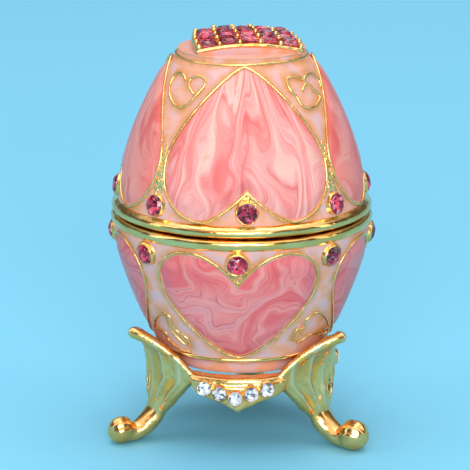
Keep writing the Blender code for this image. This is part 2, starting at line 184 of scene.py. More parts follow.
def finishPiece(name, form, materials, nodes=(), smooth=True, sharp=40):
    # makes the object in the frame's metres and hands it to the frame
    bmesh.ops.transform(form, matrix=toFrame, verts=form.verts)
    mesh = bpy.data.meshes.new(name)
    form.to_mesh(mesh)
    form.free()
    for material in materials:
        mesh.materials.append(material)
    if smooth:
        mesh.shade_smooth()
        mesh.set_sharp_from_angle(angle=math.radians(sharp))
    piece = bpy.data.objects.new(name, mesh)
    bpy.context.scene.collection.objects.link(piece)
    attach(piece, "root")
    if nodes:
        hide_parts(*nodes)
    triangles = sum(len(face.vertices) - 2 for face in mesh.polygons)
    print(f"{name}: {triangles} triangles")
    return piece


# Helpers for the materials come first, then one function for each finish.

def startMaterial(name, **values):
    material = bpy.data.materials.new(name)
    material.use_nodes = True
    tree = material.node_tree
    shader = tree.nodes["Principled BSDF"]
    for socket, value in values.items():
        shader.inputs[socket.replace("_", " ")].default_value = value
    return material, tree, shader


def addNode(tree, kind, links=None, **settings):
    node = tree.nodes.new(kind)
    for key, value in settings.items():
        if hasattr(node, key):
            setattr(node, key, value)
        else:
            node.inputs[key].default_value = value
    for socket, source in (links or {}).items():
        tree.links.new(source, node.inputs[socket])
    return node


def ramp(tree, source, stops, interpolation="LINEAR"):
    node = tree.nodes.new("ShaderNodeValToRGB")
    node.color_ramp.interpolation = interpolation
    elements = node.color_ramp.elements
    while len(elements) < len(stops):
        elements.new(0.5)
    for element, (position, colour) in zip(elements, stops):
        element.position = position
        element.color = (*colour, 1) if len(colour) == 3 else colour
    tree.links.new(source, node.inputs["Fac"])
    return node.outputs["Color"]


def blendColour(tree, factor, first, second, kind="MIX"):
    node = tree.nodes.new("ShaderNodeMix")
    node.data_type = "RGBA"
    node.blend_type = kind
    for socket, value in ((0, factor), (6, first), (7, second)):
        if isinstance(value, (int, float)):
            node.inputs[socket].default_value = value
        elif isinstance(value, tuple):
            node.inputs[socket].default_value = (*value, 1)
        else:
            tree.links.new(value, node.inputs[socket])
    return node.outputs[2]


def calculate(tree, kind, first, second=0.0):
    node = tree.nodes.new("ShaderNodeMath")
    node.operation = kind
    for socket, value in ((0, first), (1, second)):
        if isinstance(value, (int, float)):
            node.inputs[socket].default_value = value
        else:
            tree.links.new(value, node.inputs[socket])
    return node.outputs[0]


def softNoise(tree, place, scale, detail, distortion=0.0):
    return addNode(
        tree, "ShaderNodeTexNoise", {"Vector": place}, Scale=scale, Detail=detail, Distortion=distortion
    ).outputs["Fac"]


def grey(value):
    return (value, value, value)


goldLook = {
    "light": (1.0, 0.63, 0.24),
    "deep": (0.95, 0.48, 0.13),
    "paintedCrestHighlight": (1.0, 0.80, 0.55),
    "bare": (1.0, 0.55, 0.08),
    "smoothest": 0.07,
    "roughest": 0.24,
    "castTint": (1.0, 0.92, 0.9),
    "bareRoughness": 0.6,
    "waveSize": 1.6,  # mm, of the soft unevenness of the casting
    "grainSize": 0.35,  # mm
    "tintScale": 260.0,  # cells to a metre, as for the next two
    "fleckScale": 650.0,
    "mottleScale": 900.0,
}


def makeGold(name, rough=0.0, waves=0.35, grain=0.05, flatten=1.0, ridged=False):
    # flatten above 1 draws the unevenness out sideways, as on a rolled rim; a ridged gold gets a painted
    # highlight, a paler colour on the crests, and bare yellow flecks in the hollows, both from the
    # mesh's "ridge" attribute
    look = goldLook
    material, tree, shader = startMaterial(name, Metallic=1.0)
    place = addNode(tree, "ShaderNodeTexCoord").outputs["Object"]
    if flatten > 1:
        drawn = addNode(tree, "ShaderNodeMapping", {"Vector": place})
        drawn.inputs["Scale"].default_value = (1 / flatten, 1 / flatten, flatten)
        place = drawn.outputs[0]
    broad = softNoise(tree, place, look["tintScale"], 3.0)
    colour = ramp(tree, broad, ((0.35, look["deep"]), (0.62, look["light"])))
    if ridged:
        ridge = addNode(tree, "ShaderNodeAttribute", attribute_name="ridge").outputs["Fac"]
        # painted highlight: the crests of the flutes are painted a paler gold
        paintedCrestHighlight = ramp(tree, ridge, ((0.55, grey(0.0)), (0.95, grey(0.6))))
        colour = blendColour(tree, paintedCrestHighlight, colour, look["paintedCrestHighlight"])
        hollow = ramp(tree, ridge, ((0.05, grey(1.0)), (0.40, grey(0.0))))
        flecks = softNoise(tree, place, look["fleckScale"], 4.0)
        bare = ramp(tree, flecks, ((0.52, grey(0.0)), (0.60, grey(0.85))))
        bare = calculate(tree, "MULTIPLY", hollow, bare)
        colour = blendColour(tree, bare, colour, look["bare"])
        colour = blendColour(tree, 1.0, colour, look["castTint"], "MULTIPLY")
    tree.links.new(colour, shader.inputs["Base Color"])
    mottle = softNoise(tree, place, look["mottleScale"], 4.0)
    low, high = look["smoothest"] + rough, look["roughest"] + rough
    polish = ramp(tree, mottle, ((0.35, grey(low)), (0.7, grey(high))))
    if ridged:
        polish = blendColour(tree, bare, polish, grey(look["bareRoughness"]))
    tree.links.new(polish, shader.inputs["Roughness"])
    wave = softNoise(tree, place, 1000 / look["waveSize"], 1.0, 0.4)
    fine = softNoise(tree, place, 1000 / look["grainSize"], 2.0)
    soft = addNode(tree, "ShaderNodeBump", {"Height": wave}, Strength=waves, Distance=0.0006)
    hard = addNode(tree, "ShaderNodeBump", {"Height": fine, "Normal": soft.outputs[0]}, Strength=grain)
    hard.inputs["Distance"].default_value = 0.0002
    tree.links.new(hard.outputs[0], shader.inputs["Normal"])
    return material


enamelLook = {
    "coat": 0.06,
    "coatRoughness": 0.1,
    "specular": 0.14,
    "pearlRoughness": 0.36,
    "peach": (0.82, 0.34, 0.21),
    "peachLight": (0.82, 0.39, 0.30),
    "paintedLilacSheen": (0.74, 0.41, 0.40),
    "amber": (0.62, 0.25, 0.07),
    "amberReach": 1.8,  # mm from a wire
}


def startPearl(name):
    return startMaterial(
        name,
        Coat_Weight=enamelLook["coat"],
        Coat_Roughness=enamelLook["coatRoughness"],
        Specular_IOR_Level=enamelLook["specular"],
        Metallic=0.0,
    )


def addSwell(tree, shader, place, scale, strength):
    # low unevenness of enamel filled by hand, under its coat as well
    swell = softNoise(tree, place, scale, 2.0)
    bump = addNode(tree, "ShaderNodeBump", {"Height": swell}, Strength=strength, Distance=0.0005)
    for socket in ("Normal", "Coat Normal"):
        tree.links.new(bump.outputs[0], shader.inputs[socket])


def makePeach(name):
    # pearly peach ground with lilac-white patches placed by noise as a painted pearly sheen; the amount
    # of amber near the wires is in the mesh's "amber" attribute
    look = enamelLook
    material, tree, shader = startPearl(name)
    place = addNode(tree, "ShaderNodeTexCoord").outputs["Object"]
    broad = softNoise(tree, place, 210.0, 4.0, 1.4)
    # painted sheen: noise places lilac-white patches of pearly highlight in the ground
    colour = ramp(
        tree, broad, ((0.40, look["peach"]), (0.50, look["peachLight"]), (0.60, look["paintedLilacSheen"]))
    )
    amber = addNode(tree, "ShaderNodeAttribute", attribute_name="amber").outputs["Fac"]
    patch = softNoise(tree, place, 420.0, 2.0)
    patchy = ramp(tree, patch, ((0.35, grey(0.2)), (0.62, grey(0.95))))
    amount = calculate(tree, "MULTIPLY", amber, patchy)
    colour = blendColour(tree, amount, colour, look["amber"])
    tree.links.new(colour, shader.inputs["Base Color"])
    flecks = softNoise(tree, place, 5200.0, 2.0)
    low, high = look["pearlRoughness"] - 0.1, look["pearlRoughness"] + 0.12
    sheen = ramp(tree, flecks, ((0.3, grey(low)), (0.7, grey(high))))
    tree.links.new(sheen, shader.inputs["Roughness"])
    addSwell(tree, shader, place, 350.0, 0.25)
    return material


lidMarble = {
    "stretch": (2.4, 1.0),
    "warp": 0.3,
    "warpSize": 1.5,
    "flow": (1.0, 0.05),
    "curl": 0.8,
    "curlSize": 1.5,
    "strand": 17.0,
    "grain": 1.2,
    "stops": (
        (0.30, (0.80, 0.15, 0.13)),
        (0.40, (0.85, 0.22, 0.19)),
        (0.50, (0.88, 0.31, 0.27)),
        (0.58, (0.90, 0.39, 0.34)),
        (0.68, (0.91, 0.49, 0.37)),
    ),
    "line": (0.70, 0.10, 0.10),
    "pale": (0.92, 0.53, 0.44),
    "lineCount": 9.0,
    "lineStrength": 0.7,
    "threadStrength": 0.3,
    "paleStrength": 0.35,
    "edgeTint": (0.82, 0.20, 0.18),
    "paintedSideShadeTint": (0.88, 0.62, 0.58),
    "streak": 0.95,
}

cupMarble = {
    "stretch": (1.9, 1.5),
    "warp": 0.6,
    "warpSize": 1.4,
    "flow": (0.3, 0.7),
    "curl": 1.6,
    "curlSize": 1.1,
    "strand": 9.5,
    "grain": 1.6,
    "stops": (
        (0.30, (0.76, 0.10, 0.10)),
        (0.42, (0.82, 0.14, 0.14)),
        (0.52, (0.86, 0.20, 0.18)),
        (0.62, (0.86, 0.27, 0.24)),
        (0.72, (0.76, 0.28, 0.30)),
    ),
    "line": (0.58, 0.06, 0.08),
    "pale": (0.86, 0.33, 0.31),
    "lineCount": 8.0,
    "lineStrength": 0.7,
    "threadStrength": 0.35,
    "paleStrength": 0.35,
    "edgeTint": (0.60, 0.19, 0.25),
    "paintedSideShadeTint": (0.9, 0.8, 0.8),
    "streak": 0.0,
}


def joinCoordinates(tree, x, y, z):
    return addNode(tree, "ShaderNodeCombineXYZ", {"X": x, "Y": y, "Z": z}).outputs[0]


def warpedPlace(tree, spot, look):
    # the place pushed about by a broad noise, so that strokes bend
    bend = addNode(
        tree, "ShaderNodeTexNoise", {"Vector": spot}, Scale=look["warpSize"], Detail=1.5
    ).outputs["Color"]
    shifted = addNode(tree, "ShaderNodeVectorMath", {0: bend}, operation="SUBTRACT")
    shifted.inputs[1].default_value = (0.5, 0.5, 0.5)
    scaled = addNode(tree, "ShaderNodeVectorMath", {0: shifted.outputs[0]}, operation="SCALE")
    scaled.inputs["Scale"].default_value = look["warp"] * 2
    pushed = addNode(tree, "ShaderNodeVectorMath", {0: spot, 1: scaled.outputs[0]}, operation="ADD")
    return pushed.outputs[0]


def strokeCourse(tree, across, along, warped, look):
    # strokes run along the lines where this value stays equal
    curl = calculate(tree, "MULTIPLY", softNoise(tree, warped, look["curlSize"], 1.0), look["curl"])
    sideways = calculate(tree, "MULTIPLY", across, look["flow"][0])
    upwards = calculate(tree, "MULTIPLY", along, look["flow"][1])
    return calculate(tree, "ADD", calculate(tree, "ADD", sideways, upwards), curl)


def addStrokeLines(tree, colour, course, body, spot, look):
    # dark lines between the strokes, that come and go, and fine threads inside them
    drift = calculate(tree, "ADD", course, calculate(tree, "MULTIPLY", body, 0.12))
    bands = calculate(tree, "PINGPONG", calculate(tree, "MULTIPLY", drift, look["lineCount"]), 0.5)
    thin = ramp(tree, bands, ((0.0, grey(1.0)), (0.05, grey(0.5)), (0.15, grey(0.0))))
    faint = softNoise(tree, spot, 2.6, 2.0)
    fade = ramp(tree, faint, ((0.40, grey(0.0)), (0.60, grey(look["lineStrength"]))))
    colour = blendColour(tree, calculate(tree, "MULTIPLY", thin, fade), colour, look["line"])
    threads = calculate(tree, "PINGPONG", calculate(tree, "MULTIPLY", body, 9.0), 0.5)
    fineLine = ramp(tree, threads, ((0.0, grey(look["threadStrength"])), (0.12, grey(0.0))))
    return blendColour(tree, fineLine, colour, look["line"])


def addCentreStreak(tree, colour, across, along, spot, look):
    wobble = calculate(tree, "MULTIPLY", softNoise(tree, spot, 2.4, 2.0), 0.16)
    centre = calculate(tree, "ADD", across, wobble)
    distance = calculate(tree, "ABSOLUTE", calculate(tree, "SUBTRACT", centre, 0.57))
    core = ramp(tree, distance, ((0.0, grey(look["streak"])), (0.012, grey(0.45)), (0.06, grey(0.0))))
    window = ramp(tree, along, ((0.0, grey(1.0)), (0.55, grey(0.9)), (0.85, grey(0.2))))
    return blendColour(tree, calculate(tree, "MULTIPLY", core, window), colour, look["line"])


def makeMarble(name, look):
    # streaked pearl enamel that follows the heart's own "flow" map; "seed" sets the hearts apart
    # and "deep" marks the hearts at the sides, which are darkened as painted shade
    material, tree, shader = startPearl(name)
    flow = addNode(tree, "ShaderNodeUVMap", uv_map="flow").outputs[0]
    seed = addNode(tree, "ShaderNodeAttribute", attribute_name="seed").outputs["Fac"]
    parts = addNode(tree, "ShaderNodeSeparateXYZ", {"Vector": flow})
    across, along = parts.outputs[0], parts.outputs[1]
    stretchX, stretchY = look["stretch"]
    spot = joinCoordinates(
        tree,
        calculate(tree, "MULTIPLY", across, stretchX),
        calculate(tree, "MULTIPLY", along, stretchY),
        seed,
    )
    warped = warpedPlace(tree, spot, look)
    course = strokeCourse(tree, across, along, warped, look)
    strand = joinCoordinates(
        tree,
        calculate(tree, "MULTIPLY", course, look["strand"]),
        calculate(tree, "MULTIPLY", along, look["grain"]),
        seed,
    )
    body = softNoise(tree, strand, 1.0, 3.0, 0.3)
    colour = ramp(tree, body, look["stops"])
    broad = softNoise(tree, warped, 1.3, 1.0)
    cream = ramp(tree, broad, ((0.45, grey(0.0)), (0.66, grey(look["paleStrength"]))))
    colour = blendColour(tree, cream, colour, look["pale"])
    colour = addStrokeLines(tree, colour, course, body, spot, look)
    if look["streak"]:
        colour = addCentreStreak(tree, colour, across, along, spot, look)
    side = calculate(tree, "ABSOLUTE", calculate(tree, "SUBTRACT", across, 0.5))
    rim = ramp(tree, side, ((0.38, grey(0.0)), (0.5, grey(0.5))))
    colour = blendColour(tree, rim, colour, look["edgeTint"])
    # painted shade: the hearts at the sides are multiplied by a darker tint
    deep = addNode(tree, "ShaderNodeAttribute", attribute_name="deep").outputs["Fac"]
    shade = calculate(tree, "MULTIPLY", deep, 0.75)
    colour = blendColour(tree, shade, colour, look["paintedSideShadeTint"], "MULTIPLY")
    tree.links.new(colour, shader.inputs["Base Color"])
    sheen = ramp(tree, body, ((0.35, grey(0.30)), (0.7, grey(0.42))))
    tree.links.new(sheen, shader.inputs["Roughness"])
    place = addNode(tree, "ShaderNodeTexCoord").outputs["Object"]
    addSwell(tree, shader, place, 300.0, 0.22)
    return material


stoneLook = {
    "pink": (0.98, 0.42, 0.52),
    # tones of the painted facet glints, and further down the strength of the foil's painted glow
    "pinkPaintedSparkle": ((0.12, 0.005, 0.02), (0.55, 0.03, 0.09), (1.0, 0.16, 0.26), (1.0, 0.62, 0.72)),
    "clear": (0.99, 0.99, 1.0),
    "clearPaintedSparkle": ((0.16, 0.16, 0.18), (0.60, 0.60, 0.63), (0.95, 0.95, 0.97), (1.0, 1.0, 1.0)),
    "cells": 2400.0,
    "pinkDim": (0.5, 0.3, 0.45),
    "clearDim": (0.8, 0.8, 0.8),
    "pinkGlow": 0.3,
    "clearGlow": 0.45,
}


def makeCrystal(name, colour):
    material, tree, shader = startMaterial(
        name, Transmission_Weight=1.0, IOR=1.62, Roughness=0.0, Base_Color=(*colour, 1)
    )
    return material


def makeFoil(name, colour):
    # bright foil backing with painted sparkle: its small flat cells of dark to bright tones are painted
    # glints of many facets, and its emission is a painted glow
    paintedSparkleTones, dimmed, paintedGlow = (stoneLook[colour + part] for part in ("PaintedSparkle", "Dim", "Glow"))
    material, tree, shader = startMaterial(name, Metallic=0.35, Roughness=0.3, Specular_IOR_Level=0.0)
    place = addNode(tree, "ShaderNodeTexCoord").outputs["Object"]
    cells = addNode(tree, "ShaderNodeTexVoronoi", {"Vector": place}, Scale=stoneLook["cells"])
    shade = addNode(tree, "ShaderNodeSeparateXYZ", {"Vector": cells.outputs["Color"]}).outputs[0]
    colour = ramp(tree, shade, tuple(zip((0.0, 0.36, 0.68, 0.90), paintedSparkleTones)), "CONSTANT")
    mood = softNoise(tree, place, 190.0, 1.0)
    dim = ramp(tree, mood, ((0.42, dimmed), (0.58, grey(1.0))))
    colour = blendColour(tree, 1.0, colour, dim, "MULTIPLY")
    tree.links.new(colour, shader.inputs["Base Color"])
    # painted glow: the foil gives off its painted sparkle colour by emission, though it is no lamp
    tree.links.new(colour, shader.inputs["Emission Color"])
    shader.inputs["Emission Strength"].default_value = paintedGlow
    return material


polishedGold = makeGold("polished_gold", waves=0.12)
castGold = makeGold("cast_gold", rough=0.06, waves=0.2, grain=0.05, ridged=True)
rimGold = makeGold("rim_gold", rough=0.02, waves=0.22, flatten=1.8)
wireGold = makeGold("wire_gold", rough=0.12, waves=0.25)
grainGold = makeGold("grained_gold", rough=0.06, waves=0.6, grain=0.9)
peachEnamel = makePeach("peach_enamel")
lidHeartEnamel = makeMarble("lid_heart_enamel", lidMarble)
cupHeartEnamel = makeMarble("cup_heart_enamel", cupMarble)
pinkCrystal = makeCrystal("pink_crystal", stoneLook["pink"])
pinkFoil = makeFoil("pink_foil_painted_sparkle", "pink")
clearCrystal = makeCrystal("clear_crystal", stoneLook["clear"])
silverFoil = makeFoil("silver_foil_painted_sparkle", "clear")
print("materials made")


# The hearts are made in the same way on the lid and the cup. Heights are from the seam.
lidHeart = {
    "point": 24.0,
    "widest": 10.4,
    "lobe": 2.15,
    "notch": 6.8,
    "half": math.radians(43.2),
    "lobeAngle": math.radians(21),
    "sweep": 1.4,
    "seed": 1.3,
    "seedStep": 5.1,
}

cupHeart = {
    "point": -20.0,
    "widest": -8.0,
    "lobe": -2.35,
    "notch": -7.3,
    "half": math.radians(39.3),
    "lobeAngle": math.radians(22),
    "sweep": 2.0,
    "seed": 21.7,
    "seedStep": 3.9,
}


def pointSide(heart, angle):
    share = min(abs(angle) / heart["half"], 1.0)
    turn = math.asin(share**0.75)
    return mix(heart["widest"], heart["point"], math.cos(turn) ** 1.25)


def lobeSide(heart, angle):
    angle = abs(angle)
    if angle > heart["lobeAngle"]:
        share = min((angle - heart["lobeAngle"]) / (heart["half"] - heart["lobeAngle"]), 1.0)
        return mix(heart["widest"], heart["lobe"], math.sqrt(1 - share**2))
    return mix(heart["lobe"], heart["notch"], (1 - angle / heart["lobeAngle"]) ** heart["sweep"])


def heartOutline(heart, steps=46):
    # closed line of angle and height, from the point round both sides
    half = []
    for step in range(steps + 1):
        angle = heart["half"] * math.sin(math.pi / 2 * step / steps) ** 1.5
        half.append((angle, pointSide(heart, angle)))
    for step in range(steps - 1, -1, -1):
        angle = heart["half"] * math.sin(math.pi / 2 * step / steps)
        half.append((angle, lobeSide(heart, angle)))
    return half + [(-angle, height) for angle, height in reversed(half[1:-1])]


def lidRadius(height):
    return 19.2 * max(0.0, 1 - (max(height, 0) / 34.0) ** 1.61) ** 0.71


def cupRadius(height):
    depth = min(max((-height - 1.95) / (20.7 - 1.95), 0.0), 1.1)
    return 19.75 - (19.75 - 13.3) * depth**1.4


def heartPanel(heart, radiusAt, turn, index, relief):
    # pillowed panel of enamel that fills a heart; those at the sides are darkened as painted shade
    def panelPoint(u, v):
        angle = heart["half"] * math.sin(math.pi / 2 * u)
        low, high = lobeSide(heart, angle), pointSide(heart, angle)
        height = mix(low, high, v)
        inside = min(v, 1 - v) * abs(high - low)
        sideways = (heart["half"] - abs(angle)) * radiusAt(height)
        reach = min(inside, sideways) / 2.6
        lift = -0.12 + (relief + 0.12) * ease(reach) ** 0.6
        return around(angle + turn, radiusAt(height) + lift, height + seam)

    form = sheetForm(72, 60, panelPoint)
    seedLayer = form.verts.layers.float.new("seed")
    paintedSideShadeLayer = form.verts.layers.float.new("deep")
    # the hearts at the sides (odd index) are marked for painted shade
    for vert in form.verts:
        vert[seedLayer] = heart["seed"] + index * heart["seedStep"]
        vert[paintedSideShadeLayer] = index % 2
    flow = form.loops.layers.uv["flow"]
    low = min(heart["point"], heart["lobe"])
    high = max(heart["point"], heart["lobe"])
    for face in form.faces:
        for loop in face.loops:
            spot = loop.vert.co
            angle = math.remainder(math.atan2(spot.x, -spot.y) - turn, math.tau)
            share = (spot.z - seam - low) / (high - low)
            if heart["point"] < 0:
                share = 1 - share
            spread = 0.5 + 0.5 * min((1 - share) * 1.6, 1.0) if heart["point"] > 0 else 1.0
            loop[flow].uv = (0.5 + 0.5 * angle / heart["half"] / spread, share)
    bmesh.ops.remove_doubles(form, verts=form.verts, dist=0.002)
    bmesh.ops.recalc_face_normals(form, faces=form.faces)
    faceOutwards(form)
    return form


def buildHearts(name, heart, radiusAt, turn, relief, material, node):
    hearts = bmesh.new()
    hearts.loops.layers.uv.new("flow")
    hearts.verts.layers.float.new("seed")
    hearts.verts.layers.float.new("deep")
    for index in range(4):
        absorb(hearts, heartPanel(heart, radiusAt, turn + math.pi / 2 * index, index, relief))
    finishPiece(name, hearts, [material], [node], sharp=80)


def onEgg(radiusAt, angle, height, lift):
    return around(angle, radiusAt(height) + lift, height + seam)


def heartWires(heart, radiusAt, turn):
    lines = []
    for index in range(4):
        quarter = turn + math.pi / 2 * index
        outline = [
            onEgg(radiusAt, angle + quarter, height, 0.12) for angle, height in heartOutline(heart)
        ]
        lines.append((outline, True))
    return lines


def addAmber(form, lines, reach):
    # how near each vertex is to a wire, for the amber tint along it
    tree = kdtree.KDTree(sum(len(points) for points, closed in lines))
    index = 0
    for points, closed in lines:
        for point in points:
            tree.insert(point, index)
            index += 1
    tree.balance()
    layer = form.verts.layers.float.new("amber")
    for vert in form.verts:
        distance = tree.find(vert.co)[2]
        vert[layer] = 1 - ease(distance / reach)


def buildShell(node, profile, inner, sides, wires, seed):
    # enamelled outside with its amber tint, and a plain gilt inside
    shell = turned(aboveSeam(profile), sides)
    addAmber(shell, wires, enamelLook["amberReach"])
    wander(shell, 0.05, 3.0, seed)
    hollow = turned(aboveSeam(smoothLine(inner, 3)), 96)
    bmesh.ops.reverse_faces(hollow, faces=hollow.faces)
    whole = bmesh.new()
    whole.verts.layers.float.new("amber")
    absorb(whole, shell, 0)
    absorb(whole, hollow, 1)
    finishPiece(f"{node}_body", whole, [peachEnamel, polishedGold], [node])


def goldGrains(radiusAt, turn, low, high, halfAt, seed, lift=0.16):
    # small patch of grained gold between two wires; halfAt(height) is its half width as an angle
    def grainPoint(u, v):
        height = mix(low, high, v)
        edge = max(abs(u), abs(2 * v - 1))
        rise = lift * (1 - ease((edge - 0.75) / 0.25)) - 0.1
        return onEgg(radiusAt, turn + halfAt(height) * u, height, rise)

    form = sheetForm(16, 34, grainPoint)
    bmesh.ops.recalc_face_normals(form, faces=form.faces)
    faceOutwards(form)
    wander(form, 0.22, 0.42, seed)
    return form


# The lid's sizes; heights are above the seam.
lid = {
    "turn": math.radians(2.5),
    "sides": 192,
    "relief": 0.42,
    "wire": 0.41,
    "drumRadius": 9.9,
    "drumFoot": 24.1,
    "drumRise": 1.1,
    "stoneHeight": 3.8,
    "spikeTop": 13.4,  # how far the grained gold runs up between two hearts
}
# trefoils of wire between the hearts, as degrees from the front and height above the seam
lidTrefoilLeft = (
    ((-28.4, 22.39), (-26.6, 21.84), (-27.4, 21.09), (-29.6, 20.38), (-31.8, 19.67), (-34.5, 18.76),
     (-38.2, 18.15), (-42.4, 18.02), (-46.6, 18.3), (-51.1, 18.91), (-54.7, 19.64), (-57.5, 20.58),
     (-58.0, 21.43), (-56.9, 22.08), (-53.0, 22.46), (-47.4, 22.28), (-43.7, 21.71)),
    ((-32.7, 19.98), (-36.6, 20.55), (-39.2, 21.16), (-39.7, 21.73), (-38.0, 22.19), (-34.2, 22.44),
     (-30.0, 22.44), (-28.3, 22.31)),
)
lidTrefoilRight = (
    ((34.2, 22.12), (33.7, 21.3), (35.0, 20.35), (37.9, 19.52), (39.1, 18.81), (40.4, 18.18),
     (44.2, 17.8), (48.8, 17.72), (53.9, 18.12), (58.7, 18.72), (58.3, 19.34)),
    ((58.3, 19.34), (55.1, 20.07), (52.2, 20.86), (50.0, 21.4), (46.4, 21.9), (41.2, 22.24),
     (36.6, 22.23), (34.2, 22.12)),
    ((49.5, 21.46), (51.8, 21.91), (57.4, 22.12), (63.0, 21.97), (67.2, 21.28), (67.6, 20.47),
     (64.9, 19.96)),
    ((50.0, 21.02), (47.1, 20.69), (43.8, 20.19)),
)


def tracedWires(radiusAt, traces, turn):
    # wires from traced points, turned round the egg
    lines = []
    for trace in traces:
        points = smoothLine([(angle, height, 0) for angle, height in trace], 4)
        lines.append(([onEgg(radiusAt, math.radians(p[0]) + turn, p[1], 0.08) for p in points], False))
    return lines


def lidWires():
    lines = heartWires(lidHeart, lidRadius, lid["turn"])
    for turn in (0, math.pi):
        lines += tracedWires(lidRadius, lidTrefoilLeft, turn)
        lines += tracedWires(lidRadius, lidTrefoilRight, turn)
    foot = []
    for step in range(120):
        angle = math.tau * step / 120
        height = seam + lid["drumFoot"] + 0.1 + 0.1 * math.sin(3 * angle)
        foot.append(around(angle, lid["drumRadius"] + 0.12, height))
    lines.append((foot, True))
    return lines


def lidNotchHalf(height):
    # half the angle between the wires of a heart's notch
    share = min(max((height - lidHeart["lobe"]) / (lidHeart["notch"] - lidHeart["lobe"]), 0), 1)
    return lidHeart["lobeAngle"] * (1 - share ** (1 / lidHeart["sweep"])) * 0.96


def lidSpikeHalf(height):
    # half the angle of the gold spike between two hearts
    heart = lidHeart
    if height > heart["widest"]:
        turn = math.acos(((height - heart["widest"]) / (heart["point"] - heart["widest"])) ** 0.8)
        reach = heart["half"] * math.sin(turn) ** (4 / 3)
    else:
        share = (heart["widest"] - height) / (heart["widest"] - heart["lobe"])
        reach = mix(heart["lobeAngle"], heart["half"], math.sqrt(max(1 - share**2, 0)))
    most = mix(0.062, 0.012, ease((height - 5) / 8.4))
    return min(math.pi / 4 - reach, most)


def buildLid():
    wires = lidWires()
    wall = [(lidRadius(h), h) for h in (1.9, 3, 4.5, 6, 8, 10, 12, 14, 16, 18, 20, 22, 23.2)]
    drumTop = lid["drumFoot"] + lid["drumRise"]
    foot = lid["drumFoot"]
    drum = [(10.3, foot - 0.25), (10.06, foot), (9.95, foot + 0.2), (9.85, foot + 0.5)]
    drum += [(9.72, drumTop - 0.3), (9.78, drumTop - 0.12), (9.7, drumTop - 0.02)]
    drum += [(radius, drumTop) for radius in (9.4, 8.0, 6.0, 4.0, 2.0, 0.0)]
    inner = [(0, 22.4), (3.95, 21.9), (7.95, 20.6), (11.45, 17.5), (14.15, 13.0), (16.25, 7.5)]
    inner += [(17.35, 3.0), (18.1, 1.6)]
    profile = [(18.1, 1.6), (19.0, 1.55)] + smoothLine(wall, 4) + drum
    buildShell("lid", profile, inner, lid["sides"], wires, 2.0)

    buildHearts("lid_hearts", lidHeart, lidRadius, lid["turn"], lid["relief"], lidHeartEnamel, "lid")

    trim = bmesh.new()
    absorb(trim, wireForm(wires, lid["wire"], seed=3))
    for index in range(4):
        turn = lid["turn"] + math.pi / 2 * index
        absorb(trim, goldGrains(lidRadius, turn, 4.7, 6.7, lidNotchHalf, index), 1)
        spike = goldGrains(lidRadius, turn + math.pi / 4, 5.0, lid["spikeTop"], lidSpikeHalf, index + 5)
        absorb(trim, spike, 1)
    rim = [
        (18.1, 0.15),
        (19.4, 0.15),
        (19.85, 0.3),
        (20.08, 0.65),
        (20.1, 1.0),
        (19.95, 1.35),
        (19.65, 1.62),
        (19.3, 1.78),
        (19.05, 1.95),
        (18.8, 2.0),
        (18.1, 1.8),
    ]
    band = turned(aboveSeam(rim + [rim[0]]), lid["sides"])
    wander(band, 0.07, 3.2, 5.0)
    absorb(trim, band, 2)
    finishPiece("lid_trim", trim, [wireGold, grainGold, rimGold], ["lid"], sharp=60)


# Stones and their seats; a lift is along the stone's own axis, from the enamel.
seats = {
    "count": 8,
    "radius": 1.55,
    "crown": 0.6,
    "back": 0.4,
    "lidLift": 0.5,
    "cupLift": 0.52,
    "seatInner": 1.46,
    "seatFoot": -0.4,
    "lidSeat": (1.7, 0.5),  # outer radius and top of each seat
    "cupSeat": (1.8, 0.58),
}


def stoneForm(radius, crown, depth, sides=8):
    # brilliant cut: table, kite ring, girdle and a pointed back
    form = bmesh.new()
    rings = (
        (radius * 0.48, crown, 0.0),
        (radius * 0.79, crown * 0.6, 0.5),
        (radius, 0.08, 0.25),
        (radius, 0.08, 0.75),
        (radius, 0.0, 0.25),
        (radius, 0.0, 0.75),
        (radius * 0.5, -depth * 0.55, 0.5),
        (radius * 0.08, -depth, 0.0),
    )
    for reach, height, step in rings:
        spin = Matrix.Rotation(math.tau * step / sides, 4, "Z")
        bmesh.ops.create_circle(
            form, segments=sides, radius=reach, matrix=Matrix.Translation((0, 0, height)) @ spin
        )
    bmesh.ops.convex_hull(form, input=form.verts)
    bmesh.ops.dissolve_limit(form, angle_limit=0.01, verts=form.verts, edges=form.edges)
    bmesh.ops.recalc_face_normals(form, faces=form.faces)
    return form


def facing(outward):
    return outward.to_track_quat("Z", "Y").to_matrix().to_4x4()


def setStones(places, radius, crown, depth):
    whole = bmesh.new()
    for index, (place, outward) in enumerate(places):
        form = stoneForm(radius, crown, depth)
        turnForm(form, index * 2.4)
        bmesh.ops.transform(form, matrix=Matrix.Translation(place) @ facing(outward), verts=form.verts)
        mesh = bpy.data.meshes.new("stone")
        form.normal_update()
        for face in form.faces:
            face.material_index = 1 if face.normal.dot(outward) < -0.05 else 0
        form.to_mesh(mesh)
        form.free()
        whole.from_mesh(mesh)
        bpy.data.meshes.remove(mesh)
    return whole


def ringPlaces(radiusAt, height, turn, lift):
    slope = radiusAt(height + 0.5) - radiusAt(height - 0.5)
    places = []
    for index in range(seats["count"]):
        angle = turn + math.tau * index / seats["count"]
        outward = around(angle, 1.0, -slope).normalized()
        places.append((onEgg(radiusAt, angle, height, 0) + outward * lift, outward))
    return places


def bezelForm(place, outward, inner, outer, foot, top, seed):
    profile = [
        (inner * 0.35, foot),
        (outer + 0.12, foot),
        (outer + 0.05, mix(foot, top, 0.5)),
        (outer - 0.05, top - 0.12),
        (mix(inner, outer, 0.5), top),
        (inner + 0.02, top - 0.1),
        (inner - 0.04, mix(foot, top, 0.6)),
        (inner * 0.35, foot + 0.1),
        (inner * 0.35, foot),
    ]
    form = turned(smoothLine([(*point, 0) for point in profile], 3), 32)
    wander(form, 0.16, 0.9, seed)
    bmesh.ops.transform(form, matrix=Matrix.Translation(place) @ facing(outward), verts=form.verts)
    return form


